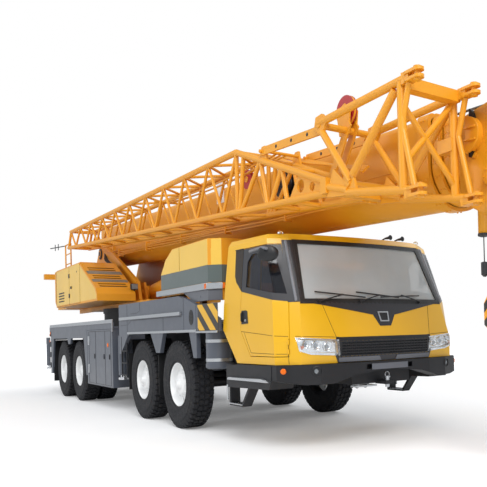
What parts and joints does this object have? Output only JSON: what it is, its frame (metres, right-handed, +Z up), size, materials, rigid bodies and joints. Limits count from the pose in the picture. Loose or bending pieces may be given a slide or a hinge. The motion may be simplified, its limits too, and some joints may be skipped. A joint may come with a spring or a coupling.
{
  "type": "truck crane",
  "caption": "Truck crane on a multi-axle carrier with a telescopic boom, a stowed lattice jib, outriggers and a wide driving cab.",
  "frame": {"origin": "on the ground, at the middle of the overall length and width", "axes": "+X forward, +Y to the left side, +Z up"},
  "size_m": [15.0488, 2.675, 3.8136],
  "materials": {
    "crane_yellow": "gloss",
    "cab_yellow": "gloss",
    "carrier_grey": "satin",
    "carrier_black": "satin",
    "tyre": "matte",
    "cylinder_chrome": "polished",
    "glass": "clear",
    "lamp": "gloss",
    "interior": "matte",
    "black_plastic": "matte",
    "engine_iron": "rough"
  },
  "bodies": {
    "chassis": {"chassis_frame": "carrier_black", "axles": "carrier_black", "front_deck": "carrier_grey", "rear_deck": "carrier_grey", "tool_boxes": "carrier_grey", "engine": "engine_iron", "engine_hood": "crane_yellow", "side_tanks": "carrier_grey", "cab_shell": "cab_yellow", "cab_glass": "glass", "cab_interior": "interior", "bumper": "carrier_black", "grille": "black_plastic", "headlamps": "lamp"},
    "turntable": {"turntable": "crane_yellow", "machinery_housing": "crane_yellow", "counterweight": "crane_yellow", "winches": "carrier_black", "operator_cab": "crane_yellow"},
    "boom_base": {"boom_base": "crane_yellow", "jib_lattice": "crane_yellow", "jib_base_frame": "crane_yellow"},
    "wheel_1_right": {"wheel_1_right": "tyre"},
    "knuckle_1_right": {"knuckle_1_right": "carrier_black"},
    "wheel_1_left": {"wheel_1_left": "tyre"},
    "knuckle_1_left": {"knuckle_1_left": "carrier_black"},
    "wheel_2_right": {"wheel_2_right": "tyre"},
    "knuckle_2_right": {"knuckle_2_right": "carrier_black"},
    "wheel_2_left": {"wheel_2_left": "tyre"},
    "knuckle_2_left": {"knuckle_2_left": "carrier_black"},
    "wheel_3_right": {"wheel_3_right": "tyre"},
    "wheel_3_left": {"wheel_3_left": "tyre"},
    "wheel_4_right": {"wheel_4_right": "tyre"},
    "wheel_4_left": {"wheel_4_left": "tyre"},
    "door_right": {"door_right": "cab_yellow"},
    "door_left": {"door_left": "cab_yellow"},
    "outrigger_beam_front_right": {"outrigger_beam_front_right": "carrier_grey"},
    "outrigger_jack_front_right": {"outrigger_jack_front_right": "cylinder_chrome"},
    "outrigger_beam_front_left": {"outrigger_beam_front_left": "carrier_grey"},
    "outrigger_jack_front_left": {"outrigger_jack_front_left": "cylinder_chrome"},
    "outrigger_beam_rear_right": {"outrigger_beam_rear_right": "carrier_grey"},
    "outrigger_jack_rear_right": {"outrigger_jack_rear_right": "cylinder_chrome"},
    "outrigger_beam_rear_left": {"outrigger_beam_rear_left": "carrier_grey"},
    "outrigger_jack_rear_left": {"outrigger_jack_rear_left": "cylinder_chrome"},
    "operator_door": {"operator_door": "crane_yellow"},
    "luff_barrel": {"luff_barrel": "crane_yellow"},
    "luff_rod": {"luff_rod": "cylinder_chrome"},
    "boom_section_2": {"boom_section_2": "crane_yellow"},
    "boom_section_3": {"boom_section_3": "crane_yellow"},
    "boom_section_4": {"boom_section_4": "crane_yellow"},
    "boom_head": {"boom_head": "crane_yellow"},
    "hook_block": {"hook_block": "crane_yellow"}
  },
  "joints": [
    {"name": "steer_1_right", "type": "hinge", "parent": "chassis", "child": "knuckle_1_right", "pos_m": [1.5, -0.985, 0.615], "axis": [0, 0, 1], "range_deg": [-30, 30]},
    {"name": "roll_1_right", "type": "hinge", "parent": "knuckle_1_right", "child": "wheel_1_right", "pos_m": [1.5, -1.155, 0.615], "axis": [0, 1, 0], "continuous": true},
    {"name": "steer_1_left", "type": "hinge", "parent": "chassis", "child": "knuckle_1_left", "pos_m": [1.5, 0.985, 0.615], "axis": [0, 0, 1], "range_deg": [-30, 30]},
    {"name": "roll_1_left", "type": "hinge", "parent": "knuckle_1_left", "child": "wheel_1_left", "pos_m": [1.5, 1.155, 0.615], "axis": [0, 1, 0], "continuous": true},
    {"name": "steer_2_right", "type": "hinge", "parent": "chassis", "child": "knuckle_2_right", "pos_m": [0, -0.985, 0.615], "axis": [0, 0, 1], "range_deg": [-20, 20]},
    {"name": "roll_2_right", "type": "hinge", "parent": "knuckle_2_right", "child": "wheel_2_right", "pos_m": [0, -1.155, 0.615], "axis": [0, 1, 0], "continuous": true},
    {"name": "steer_2_left", "type": "hinge", "parent": "chassis", "child": "knuckle_2_left", "pos_m": [0, 0.985, 0.615], "axis": [0, 0, 1], "range_deg": [-20, 20]},
    {"name": "roll_2_left", "type": "hinge", "parent": "knuckle_2_left", "child": "wheel_2_left", "pos_m": [0, 1.155, 0.615], "axis": [0, 1, 0], "continuous": true},
    {"name": "roll_3_right", "type": "hinge", "parent": "chassis", "child": "wheel_3_right", "pos_m": [-4.05, -1.155, 0.615], "axis": [0, 1, 0], "continuous": true},
    {"name": "roll_3_left", "type": "hinge", "parent": "chassis", "child": "wheel_3_left", "pos_m": [-4.05, 1.155, 0.615], "axis": [0, 1, 0], "continuous": true},
    {"name": "roll_4_right", "type": "hinge", "parent": "chassis", "child": "wheel_4_right", "pos_m": [-5.43, -1.155, 0.615], "axis": [0, 1, 0], "continuous": true},
    {"name": "roll_4_left", "type": "hinge", "parent": "chassis", "child": "wheel_4_left", "pos_m": [-5.43, 1.155, 0.615], "axis": [0, 1, 0], "continuous": true},
    {"name": "door_right_hinge", "type": "hinge", "parent": "chassis", "child": "door_right", "pos_m": [4.395, -1.172, 1.6], "axis": [0, 0, 1], "range_deg": [0, 70]},
    {"name": "door_left_hinge", "type": "hinge", "parent": "chassis", "child": "door_left", "pos_m": [4.395, 1.172, 1.6], "axis": [0, 0, -1], "range_deg": [0, 70]},
    {"name": "outrigger_beam_front_right_slide", "type": "slide", "parent": "chassis", "child": "outrigger_beam_front_right", "axis": [0, -1, 0], "range_m": [0, 1.7]},
    {"name": "outrigger_jack_front_right_slide", "type": "slide", "parent": "outrigger_beam_front_right", "child": "outrigger_jack_front_right", "axis": [0, 0, -1], "range_m": [0, 0.55]},
    {"name": "outrigger_beam_front_left_slide", "type": "slide", "parent": "chassis", "child": "outrigger_beam_front_left", "axis": [0, 1, 0], "range_m": [0, 1.7]},
    {"name": "outrigger_jack_front_left_slide", "type": "slide", "parent": "outrigger_beam_front_left", "child": "outrigger_jack_front_left", "axis": [0, 0, -1], "range_m": [0, 0.55]},
    {"name": "outrigger_beam_rear_right_slide", "type": "slide", "parent": "chassis", "child": "outrigger_beam_rear_right", "axis": [0, -1, 0], "range_m": [0, 1.7]},
    {"name": "outrigger_jack_rear_right_slide", "type": "slide", "parent": "outrigger_beam_rear_right", "child": "outrigger_jack_rear_right", "axis": [0, 0, -1], "range_m": [0, 0.55]},
    {"name": "outrigger_beam_rear_left_slide", "type": "slide", "parent": "chassis", "child": "outrigger_beam_rear_left", "axis": [0, 1, 0], "range_m": [0, 1.7]},
    {"name": "outrigger_jack_rear_left_slide", "type": "slide", "parent": "outrigger_beam_rear_left", "child": "outrigger_jack_rear_left", "axis": [0, 0, -1], "range_m": [0, 0.55]},
    {"name": "slew", "type": "hinge", "parent": "chassis", "child": "turntable", "pos_m": [-4.1, 0, 1.9], "axis": [0, 0, 1], "continuous": true},
    {"name": "operator_door_hinge", "type": "hinge", "parent": "turntable", "child": "operator_door", "pos_m": [-4.05, 1.332, 2.6], "axis": [0, 0, 1], "range_deg": [0, 80]},
    {"name": "luff", "type": "hinge", "parent": "turntable", "child": "boom_base", "pos_m": [-5.25, 0, 3.2], "axis": [0, -1, 0], "range_deg": [0, 82]},
    {"name": "luff_barrel_swing", "type": "hinge", "parent": "turntable", "child": "luff_barrel", "pos_m": [-3.15, 0, 2.2], "axis": [0, -1, 0], "range_deg": [0, 90.12]},
    {"name": "luff_rod_stroke", "type": "slide", "parent": "luff_barrel", "child": "luff_rod", "axis": [0.9955, 0, 0.0942], "range_m": [0, 2.9687]},
    {"name": "telescope_2", "type": "slide", "parent": "boom_base", "child": "boom_section_2", "axis": [0.9992, 0, -0.0401], "range_m": [0, 8.8]},
    {"name": "telescope_3", "type": "slide", "parent": "boom_section_2", "child": "boom_section_3", "axis": [0.9992, 0, -0.0401], "range_m": [0, 8.8]},
    {"name": "telescope_4", "type": "slide", "parent": "boom_section_3", "child": "boom_section_4", "axis": [0.9992, 0, -0.0401], "range_m": [0, 8.8]},
    {"name": "telescope_5", "type": "slide", "parent": "boom_section_4", "child": "boom_head", "axis": [0.9992, 0, -0.0401], "range_m": [0, 8.8]},
    {"name": "hook_swing", "type": "hinge", "parent": "boom_head", "child": "hook_block", "pos_m": [6.61642, 0, 2.62331], "axis": [0, -1, 0], "range_deg": [-40, 30]}
  ],
  "couplings": [
    {"joint": "steer_1_left", "follows": "steer_1_right", "ratio": 1},
    {"joint": "steer_2_right", "follows": "steer_1_right", "ratio": 0.666},
    {"joint": "steer_2_left", "follows": "steer_1_right", "ratio": 0.666},
    {"joint": "luff_barrel_swing", "follows": "luff", "ratio": 1.0989},
    {"joint": "luff_rod_stroke", "follows": "luff", "m_per_rad": 2.0736},
    {"joint": "telescope_3", "follows": "telescope_2", "ratio": 1},
    {"joint": "telescope_4", "follows": "telescope_2", "ratio": 1},
    {"joint": "telescope_5", "follows": "telescope_2", "ratio": 1}
  ]
}
